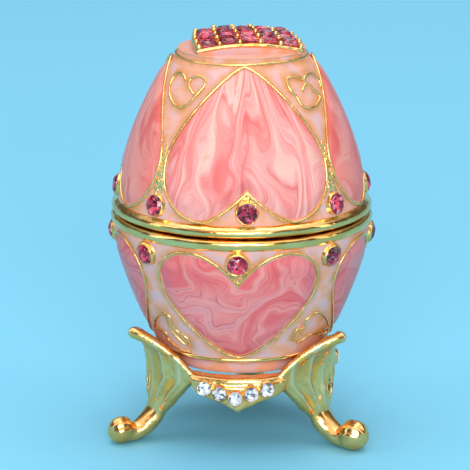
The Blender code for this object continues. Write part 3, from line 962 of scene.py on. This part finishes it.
def buildRingStones():
    s = seats
    rings = (
        ("lid", lidRadius, lid["stoneHeight"], lid["turn"], s["lidLift"], s["lidSeat"], 1.7, 0),
        ("cup", cupRadius, -cup["stoneDepth"], cup["turn"], s["cupLift"], s["cupSeat"], 2.3, 9),
    )
    trim = bmesh.new()
    for node, radiusAt, height, turn, lift, (outer, top), seedStep, seed in rings:
        stones = setStones(ringPlaces(radiusAt, height, turn, lift), s["radius"], s["crown"], s["back"])
        names = [f"{node}_stone_{number}" for number in range(1, s["count"] + 1)]
        finishPiece(f"{node}_stones", stones, [pinkCrystal, pinkFoil], names, smooth=False)
        for index, (place, outward) in enumerate(ringPlaces(radiusAt, height, turn, 0)):
            rough = index * seedStep + seed
            absorb(trim, bezelForm(place, outward, s["seatInner"], outer, s["seatFoot"], top, rough))
    finishPiece("stone_seats", trim, [wireGold], ["lid", "cup"], sharp=60)


# The cup's sizes; a height below the seam is negative.
cup = {
    "turn": math.radians(-1.8),
    "sides": 192,
    "relief": 0.36,
    "wire": 0.38,
    "stoneDepth": 3.75,
}
cupTrefoilLeft = (
    ((-62.9, -17.24), (-56.1, -15.43), (-48.4, -14.05), (-43.9, -13.58), (-41.1, -14.23),
     (-41.1, -15.38), (-39.5, -16.44), (-35.2, -17.03), (-32.5, -17.73), (-33.7, -18.97)),
    ((-60.3, -17.2), (-56.2, -17.39), (-50.5, -17.48), (-51.6, -18.54), (-47.3, -19.25), (-41.6, -19.9),
     (-33.9, -19.82)),
    ((-45.0, -13.82), (-44.9, -15.45), (-43.5, -16.68), (-40.4, -17.82), (-36.9, -18.63)),
)
cupTrefoilRight = (
    ((31.3, -17.66), (31.1, -16.64), (32.8, -15.72), (36.8, -15.77), (36.3, -14.58), (39.4, -13.77),
     (44.6, -13.45), (53.7, -15.06), (62.5, -17.19), (64.2, -18.45), (53.7, -18.01)),
    ((31.3, -17.66), (37.3, -18.13), (42.3, -17.42), (48.7, -17.34), (62.1, -17.32)),
    ((36.1, -15.73), (36.7, -16.93), (35.9, -17.56)),
)


def cupNotchHalf(height):
    share = min(max((cupHeart["lobe"] - height) / (cupHeart["lobe"] - cupHeart["notch"]), 0), 1)
    return cupHeart["lobeAngle"] * (1 - share ** (1 / cupHeart["sweep"])) * 0.96


def cupWires():
    lines = heartWires(cupHeart, cupRadius, cup["turn"])
    for turn in (0, math.pi):
        lines += tracedWires(cupRadius, cupTrefoilLeft, turn)
        lines += tracedWires(cupRadius, cupTrefoilRight, turn)
    return lines


def buildCup():
    wires = cupWires()
    wall = [(cupRadius(-d), -d) for d in (1.7, 2.5, 4, 6, 8, 10, 12, 14, 16, 18, 19.6, 20.4)]
    foot = [(13.1, -20.9), (12.4, -21.0), (12.1, -21.2), (11.95, -21.7), (11.75, -22.6)]
    foot += [(11.65, -23.1), (11.5, -23.28), (11.1, -23.3), (10.75, -23.2), (10.6, -22.8)]
    foot += [(radius, -22.6) for radius in (10.3, 5, 0)]
    inner = [(16.7, -0.2), (16.7, -3.0), (16.3, -7.0), (15.0, -11), (13.4, -15), (11.6, -18.6)]
    inner += [(9.6, -20.2), (5, -20.8), (0, -20.9)]
    profile = [(18.6, -1.6)] + smoothLine(wall, 4) + foot
    buildShell("cup", profile, inner, cup["sides"], wires, 8.0)

    buildHearts("cup_hearts", cupHeart, cupRadius, cup["turn"], cup["relief"], cupHeartEnamel, "cup")

    trim = bmesh.new()
    absorb(trim, wireForm(wires, cup["wire"], seed=7))
    for index in range(4):
        turn = cup["turn"] + math.pi / 2 * index
        absorb(trim, goldGrains(cupRadius, turn, -7.2, -4.9, cupNotchHalf, index + 20), 1)
    rim = [
        (16.7, -0.2),
        (16.7, 1.15),
        (17.6, 1.2),
        (17.8, 1.0),
        (17.8, -0.15),
        (19.7, -0.15),
        (20.05, -0.32),
        (20.2, -0.7),
        (20.2, -1.05),
        (20.08, -1.4),
        (19.85, -1.7),
        (19.6, -1.95),
        (19.35, -2.05),
        (18.4, -1.9),
        (18.0, -1.2),
        (16.7, -0.2),
    ]
    band = turned(aboveSeam(rim), cup["sides"])
    wander(band, 0.06, 3.4, 11.0)
    absorb(trim, band, 2)
    low = [(12.6, -20.2), (13.35, -20.25), (13.62, -20.5), (13.6, -20.8), (13.3, -21.0)]
    low += [(12.5, -21.0), (12.2, -20.7), (12.6, -20.2)]
    ring = turned(smoothLine([(radius, height + seam, 0) for radius, height in low], 3), 128)
    wander(ring, 0.12, 1.8, 4.0)
    absorb(trim, ring, 2)
    finishPiece("cup_trim", trim, [wireGold, grainGold, rimGold], ["cup"], sharp=60)


# The crown plate's corners are seen from above, with the front towards -Y.
crown = {
    "leftFront": (-6.5, -7.3),
    "rightFront": (9.1, -4.6),
    "rightBack": (7.0, 7.0),
    "leftBack": (-7.3, 6.6),
    "bow": 0.4,
    "rise": 1.8,
    "reach": 7.8,
    "sideDrop": 1.0,
    "frontDrop": 0.6,
    "columns": 5,
    "rows": 4,
    "stone": 1.47,
    "unevenness": 0.3,
    "seed": 5,  # picks how unevenly the stones are set
    "rim": 0.62,
}


def platePoint(across, along):
    share = (along + 1) / 2
    left = Vector(crown["leftFront"]).lerp(Vector(crown["leftBack"]), share)
    right = Vector(crown["rightFront"]).lerp(Vector(crown["rightBack"]), share)
    point = left.lerp(right, (across + 1) / 2)
    point.x += crown["bow"] * across * (1 - along**2)
    point.y += crown["bow"] * along * (1 - across**2)
    return point.x, point.y


def plateHeight(x, y):
    drop = crown["sideDrop"] * (x / crown["reach"]) ** 2 + crown["frontDrop"] * (y / crown["reach"]) ** 2
    return lid["drumFoot"] + lid["drumRise"] + crown["rise"] - drop


def crownSpot(across, along, lift):
    x, y = platePoint(across, along)
    leanX = 2 * crown["sideDrop"] * x / crown["reach"] ** 2
    leanY = 2 * crown["frontDrop"] * y / crown["reach"] ** 2
    outward = Vector((leanX, leanY, 1.0)).normalized()
    return Vector((x, y, plateHeight(x, y) + seam)) + outward * lift, outward


def buildCrown():
    noise.seed_set(crown["seed"])
    places = []
    claws = []
    for row in range(crown["rows"]):
        for column in range(crown["columns"]):
            across = (2 * column + 1) / crown["columns"] - 1
            along = (2 * row + 1) / crown["rows"] - 1
            spot = Vector((row * 1.7, column * 1.7, 0.3))
            shift = noise.noise_vector(spot) * crown["unevenness"]
            place, outward = crownSpot(across * 0.955, along * 0.955, 0.26 + shift.z)
            place += Vector((shift.x, shift.y, 0)) * 0.6
            lean = noise.noise_vector(spot + Vector((9, 0, 0))) * crown["unevenness"]
            places.append((place, (outward + lean).normalized()))
    for row in range(crown["rows"] + 1):
        for column in range(crown["columns"] + 1):
            across = (2 * column / crown["columns"] - 1) * 0.96
            along = (2 * row / crown["rows"] - 1) * 0.96
            claws.append(crownSpot(across, along, 0.42))
    names = [f"crown_stone_{n:02d}" for n in range(1, 21)]
    stones = setStones(places, crown["stone"], 0.62, 0.6)
    finishPiece("crown_stones", stones, [pinkCrystal, pinkFoil], names, smooth=False)
    whole = bmesh.new()

    def top(u, v):
        along = 2 * v - 1
        place, outward = crownSpot(u, along, 0)
        edge = max(abs(u), abs(along))
        return place - outward * (0.42 * (1 - ease((edge - 0.9) / 0.08)))

    plate = sheetForm(48, 40, top)
    bmesh.ops.recalc_face_normals(plate, faces=plate.faces)
    if sum(face.normal.z for face in plate.faces) < 0:
        bmesh.ops.reverse_faces(plate, faces=plate.faces)
    wander(plate, 0.12, 1.4, 1.0)
    absorb(whole, plate)
    line = []
    for side in range(4):
        for step in range(30):
            t = -1 + 2 * step / 30
            u, v = ((t, -1), (1, t), (-t, 1), (-1, -t))[side]
            line.append(crownSpot(u, v, -0.08)[0])
    absorb(whole, wireForm([(line, True)], crown["rim"], seed=2))
    for index, (place, outward) in enumerate(claws):
        bead = bmesh.new()
        size = 0.38 + 0.15 * noise.noise(place * 0.7)
        bmesh.ops.create_icosphere(bead, subdivisions=2, radius=size)
        bmesh.ops.scale(bead, vec=(1, 1, 1.3), verts=bead.verts)
        bmesh.ops.transform(bead, matrix=Matrix.Translation(place) @ facing(outward), verts=bead.verts)
        absorb(whole, bead)
    finishPiece("crown_plate", whole, [wireGold], ["lid"], sharp=60)

    # enamelled side of the cushion, from its gold rim down to the drum
    side = bmesh.new()
    side.verts.layers.float.new("amber")
    verts = [side.verts.new(point) for point in line]
    for first, second in zip(verts, verts[1:] + verts[:1]):
        side.edges.new((first, second))
    low = bmesh.ops.extrude_edge_only(side, edges=side.edges[:])["geom"]
    floorHeight = seam + lid["drumFoot"] + lid["drumRise"] - 0.3
    amber = side.verts.layers.float["amber"]
    for item in low:
        if isinstance(item, bmesh.types.BMVert):
            item.co.z = floorHeight
            item.co.x *= 1.015
            item.co.y *= 1.015
            item[amber] = 0.5
    bmesh.ops.recalc_face_normals(side, faces=side.faces)
    faceOutwards(side)
    finishPiece("crown_side", side, [peachEnamel], ["lid"], sharp=50)


# The stand is one casting; its height 0 is the floor.
stand = {
    "turn": math.radians(-4.5),
    "ringRadius": 14.0,
    "ringTop": 12.3,
    "ringBand": 1.7,
    "ringThickness": 1.3,
    "lipRadius": 12.05,  # thin lip inside the ring, under the cup
    "petalHalf": math.radians(30),
    "petalRise": 5.4,
    "petalFlare": 4.4,
    "petalThickness": 1.25,
    "lipThickness": 1.5,
    "flutes": 5,
    "fluteDepth": 0.45,
    "ankleHeight": 4.6,
    "ankleRadius": 14.6,
    "ankleHalf": 2.25,
    "balls": ((2.38, 20.9), (2.25, 20.5), (2.12, 20.6)),  # radius and reach: right, back and left foot
    "toeHalf": 2.3,
    "voxel": 0.2,
}
plaque = {
    "turn": math.radians(2.5),
    "half": math.radians(29),
    "tip": 7.0,
    "side": 1.0,
    "thickness": 1.5,
    "face": 14.95,
    "horns": 0.9,
}


def flute(u):
    # 1 on a crest, 0 in a hollow
    return 1 - abs(math.sin(math.pi * stand["flutes"] * u / 2)) ** 0.9


def petalSpread(share):
    # half angle of the petal's lower part, from the ankle to the ring
    return mix(stand["ankleHalf"] / stand["ankleRadius"], stand["petalHalf"], share**1.15)


def petalPoint(u, v):
    s = stand
    ringLow = s["ringTop"] - s["ringBand"]
    edge = abs(u)
    if v < 0.5:
        share = v / 0.5
        height = mix(s["ankleHeight"], ringLow, share)
        radius = mix(s["ankleRadius"], s["ringRadius"], share)
        spread = petalSpread(share)
    else:
        share = (v - 0.5) / 0.5
        peak = s["ringTop"] - 0.1 + s["petalRise"] * (1 - edge**1.3)
        height = mix(ringLow, peak, share)
        radius = s["ringRadius"] + s["petalFlare"] * (1 - edge) ** 1.8 * share**2.3
        spread = s["petalHalf"]
    ripple = (flute(u) - 0.5) * 2 * s["fluteDepth"]
    fade = ease(v / 0.25) * ease((1 - v) / 0.3)
    outer = radius + s["petalThickness"] / 2 + (ripple + 0.35 * (1 - edge**3)) * fade * (1 - edge**4)
    return around(spread * u, outer, height)


def thickened(form, depth):
    bmesh.ops.recalc_face_normals(form, faces=form.faces)
    faceOutwards(form)
    bmesh.ops.solidify(form, geom=form.faces[:], thickness=depth)
    return form


def tube(line, sides=20):
    # closed rod through places in the leg's own upright plane: distance, height, half depth, half width
    form = bmesh.new()
    loops = []
    for index, (distance, height, thick, wide) in enumerate(line):
        before = Vector(line[max(index - 1, 0)][:2])
        after = Vector(line[min(index + 1, len(line) - 1)][:2])
        heading = (after - before).normalized()
        ring = bmesh.ops.create_circle(form, segments=sides, radius=1.0)["verts"]
        for vert in ring:
            side, out = vert.co.x * wide, vert.co.y * thick
            vert.co = Vector((side, -(distance - heading.y * out), height + heading.x * out))
        loops.append(list({edge for vert in ring for edge in vert.link_edges}))
        if index in (0, len(line) - 1):
            form.faces.new(ring)
    for lower, upper in zip(loops, loops[1:]):
        bmesh.ops.bridge_loops(form, edges=lower + upper)
    bmesh.ops.recalc_face_normals(form, faces=form.faces)
    return form


def ridgeAt(place):
    # crest or hollow of the nearest petal at a place on the casting, 0.5 elsewhere
    s = stand
    low = s["ringTop"] - s["ringBand"]
    share = min((place.z - s["ankleHeight"]) / (low - s["ankleHeight"]), 1.0)
    if share <= 0 or Vector((place.x, place.y)).length < s["ringRadius"]:
        return 0.5
    angle = math.atan2(place.x, -place.y) - s["turn"] - math.pi / 3
    angle -= math.tau / 3 * round(angle / (math.tau / 3))
    u = angle / petalSpread(share)
    if abs(u) > 0.92:
        return 0.5
    return mix(0.5, flute(u), ease(share / 0.3) * ease((0.92 - abs(u)) / 0.1))


def lipSwell(share):
    # the petal's rolled edge is thickest at its tip
    return 0.85 + 0.4 * (1 - abs(2 * share - 1)) ** 2


def legForms(ballRadius, ballReach):
    s = stand
    reach = ballReach - s["ankleRadius"]
    line = [
        (s["ankleRadius"] - 0.7, s["ankleHeight"] * 2.3, 0.6, s["toeHalf"] * 1.25),
        (s["ankleRadius"] - 0.35, s["ankleHeight"] * 1.8, 0.85, s["toeHalf"] * 1.15),
        (s["ankleRadius"] - 0.05, s["ankleHeight"] * 1.35, 1.15, s["toeHalf"] * 1.05),
        (s["ankleRadius"] + reach * 0.03, s["ankleHeight"], 1.4, s["toeHalf"]),
        (s["ankleRadius"] + reach * 0.22, s["ankleHeight"] * 0.66, 1.55, s["toeHalf"] * 0.9),
        (s["ankleRadius"] + reach * 0.52, s["ankleHeight"] * 0.39, 1.45, s["toeHalf"] * 0.8),
        (ballReach - reach * 0.2, 1.45, 1.35, s["toeHalf"] * 0.72),
        (ballReach, 1.5, 1.35, s["toeHalf"] * 0.6),
    ]
    smooth = smoothLine([Vector(point) for point in line], 4)
    leg = tube([tuple(point) for point in smooth])
    ball = bmesh.new()
    centre = Vector((0, -ballReach, ballRadius))
    bmesh.ops.create_uvsphere(ball, u_segments=64, v_segments=40, radius=ballRadius)
    for vert in ball.verts:
        # flutes fan out from where the toe runs into the ball
        fan = math.atan2(vert.co.x, vert.co.z)
        share = math.cos(math.asin(max(min(vert.co.y / ballRadius, 1), -1)))
        vert.co *= 1 + 0.03 * math.cos(9 * fan) * share * ease((vert.co.z / ballRadius + 0.6) / 1.2)
        vert.co += centre
        vert.co.z = max(vert.co.z, 0.0)
    petal = thickened(sheetForm(60, 44, petalPoint), s["petalThickness"])
    lip = [petalPoint(-1 + step / 20, 1.0) for step in range(41)]
    lip = [point + Vector((point.x, point.y, 0)).normalized() * -0.55 for point in lip]
    edge = wireForm([(lip, False)], s["lipThickness"], seed=6, swell=lipSwell)
    return [leg, ball, petal, edge]


def plaquePoint(u, v):
    s, p = stand, plaque
    high = s["ringTop"] - s["ringBand"] + 0.3 + p["horns"] * abs(u) ** 1.5
    slope = 1 - abs(u)
    low = s["ringTop"] - s["ringBand"] - p["side"] * min(1.0, slope * 4) ** 0.5
    drop = low - p["tip"]
    low -= drop * (0.55 * slope + 0.45 * slope**2.6)
    return around(p["half"] * u, p["face"], mix(low, high, v))


def buildStand():
    s = stand
    whole = bmesh.new()
    for index in range(3):
        start = s["turn"] + math.pi / 3 + math.tau * index / 3
        for form in legForms(*s["balls"][index]):
            absorb(whole, turnForm(form, start))
        panel = thickened(sheetForm(40, 12, plaquePoint), plaque["thickness"])
        absorb(whole, turnForm(panel, s["turn"] + plaque["turn"] + math.tau * index / 3))
    outer = s["ringRadius"] + s["ringThickness"] / 2
    inner = s["lipRadius"]
    low, top = s["ringTop"] - s["ringBand"], s["ringTop"]
    profile = [(inner, top - 0.9), (inner + 0.9, low), (outer - 0.3, low), (outer, low + 0.5)]
    profile += [(outer, top - 0.5), (outer - 0.3, top), (outer - 1.2, top)]
    profile += [(inner + 0.25, top - 0.02), (inner, top - 0.3)]
    absorb(whole, turned(profile + [profile[0]], 96))
    mesh = bpy.data.meshes.new("rough")
    whole.to_mesh(mesh)
    whole.free()
    rough = bpy.data.objects.new("rough", mesh)
    bpy.context.scene.collection.objects.link(rough)
    remesh = rough.modifiers.new("one casting", "REMESH")
    remesh.mode = "VOXEL"
    remesh.voxel_size = s["voxel"]
    bpy.context.view_layer.update()
    cast = bpy.data.meshes.new_from_object(rough.evaluated_get(bpy.context.evaluated_depsgraph_get()))
    bpy.data.objects.remove(rough, do_unlink=True)
    form = bmesh.new()
    form.from_mesh(cast)
    for turn in range(3):
        bmesh.ops.smooth_vert(
            form, verts=form.verts, factor=0.5, use_axis_x=True, use_axis_y=True, use_axis_z=True
        )
    wander(form, 0.09, 1.7, 3.0)
    for vert in form.verts:
        vert.co.z = max(vert.co.z, 0.0)
    # the ridge value also places the painted highlight on the crests of the cast gold
    ridge = form.verts.layers.float.new("ridge")
    for vert in form.verts:
        vert[ridge] = ridgeAt(vert.co)
    finishPiece("stand_casting", form, [castGold], ["stand"], sharp=80)


clear = {
    "turn": math.radians(1.0),
    "radius": 1.1,
    "crown": 0.42,
    "back": 0.24,
    "row": 5,
    "pitch": 2.4,
    "rise": 2.35,
    "drop": 0.68,
}


def buildClearStones():
    places = []
    for index in range(3):
        middle = stand["turn"] + clear["turn"] + math.tau * index / 3
        for number in range(clear["row"]):
            step = number - (clear["row"] - 1) / 2
            angle = middle + step * clear["pitch"] / plaque["face"]
            height = plaque["tip"] + clear["rise"] + clear["drop"] * abs(step) ** 0.9
            places.append((around(angle, plaque["face"] + gap, height), around(angle, 1.0, 0.0)))
    names = [f"clear_stone_{n:02d}" for n in range(1, 16)]
    stones = setStones(places, clear["radius"], clear["crown"], clear["back"])
    finishPiece("clear_stones", stones, [clearCrystal, silverFoil], names, smooth=False)
    trim = bmesh.new()
    for index, (place, outward) in enumerate(places):
        absorb(trim, bezelForm(place - outward * gap, outward, 1.05, 1.24, -0.2, 0.3, index * 1.9))
    finishPiece("clear_stone_seats", trim, [wireGold], ["stand"], sharp=60)


buildLid()
buildCup()
buildRingStones()
buildCrown()
buildStand()
buildClearStones()
print("object built")


# Floor, light and camera.
studio = {
    "floor": (0.190, 0.555, 0.755),
    "floorPatch": 1.04,  # how much lighter the paper is in places
    "horizon": (0.20, 0.56, 0.76),
    "room": (0.09, 0.095, 0.10),
    "ceiling": (0.92, 0.96, 1.0),
    "worldStrength": 1.3,
    # each softbox: place, what it faces, size and power; metres and watts
    "softboxes": {
        "top_softbox": ((0.0, 0.15, 1.25), (0, 0.1, 0.0), (1.0, 0.8), 4.5),
        "front_softbox": ((0.0, -1.05, 0.45), (0, 0, 0.03), (0.8, 0.4), 9.6),
        "left_softbox": ((-0.55, -0.1, 0.3), (0, 0, 0.03), (0.15, 0.4), 0.35),
        "right_softbox": ((0.55, -0.1, 0.3), (0, 0, 0.03), (0.15, 0.4), 0.35),
    },
    "lens": 184.1,
    "cameraPlace": (0.0, -0.360, 0.1285),  # from the foot of the egg's axis
    "cameraLean": math.radians(74.84),
    "cameraTurn": math.radians(0.162),
}


def makeFloor():
    form = bmesh.new()
    bmesh.ops.create_grid(form, x_segments=1, y_segments=1, size=3.0)
    mesh = bpy.data.meshes.new("floor")
    form.to_mesh(mesh)
    form.free()
    floor = bpy.data.objects.new("floor", mesh)
    bpy.context.scene.collection.objects.link(floor)
    material, tree, shader = startMaterial("floor_paper", Roughness=0.7)
    place = addNode(tree, "ShaderNodeTexCoord").outputs["Object"]
    light = tuple(part * studio["floorPatch"] for part in studio["floor"])
    paper = ramp(tree, softNoise(tree, place, 3.0, 1.0), ((0.3, studio["floor"]), (0.7, light)))
    tree.links.new(paper, shader.inputs["Base Color"])
    mesh.materials.append(material)
    return floor


def makeWorld():
    # blue backdrop at the horizon, a dim room above it and a bright ceiling
    world = bpy.data.worlds.new("studio")
    world.use_nodes = True
    bpy.context.scene.world = world
    tree = world.node_tree
    background = tree.nodes["Background"]
    direction = addNode(tree, "ShaderNodeTexCoord").outputs["Generated"]
    upward = addNode(tree, "ShaderNodeSeparateXYZ", {"Vector": direction}).outputs[2]
    horizon, room = studio["horizon"], studio["room"]
    stops = ((0.0, horizon), (0.12, horizon), (0.26, room), (0.55, room), (0.8, studio["ceiling"]))
    tree.links.new(ramp(tree, upward, stops), background.inputs["Color"])
    background.inputs["Strength"].default_value = studio["worldStrength"]


def addSoftbox(name, place, target, size, power):
    data = bpy.data.lights.new(name, "AREA")
    data.shape = "RECTANGLE"
    data.size, data.size_y = size
    data.energy = power
    light = bpy.data.objects.new(name, data)
    light.location = place
    light.rotation_euler = (Vector(target) - Vector(place)).to_track_quat("-Z", "Y").to_euler()
    bpy.context.scene.collection.objects.link(light)


floor = makeFloor()
makeWorld()
for name, values in studio["softboxes"].items():
    addSoftbox(name, *values)

camera = bpy.data.cameras.new("camera")
camera.lens = studio["lens"]
camera.sensor_width = 36.0
camera.clip_start = 0.01
cameraObject = bpy.data.objects.new("camera", camera)
cameraObject.location = eggAxis + Vector(studio["cameraPlace"])
cameraObject.rotation_euler = (studio["cameraLean"], 0.0, studio["cameraTurn"])
bpy.context.scene.collection.objects.link(cameraObject)
bpy.context.scene.camera = cameraObject
bpy.context.scene.view_settings.view_transform = "Standard"

print("scene ready")
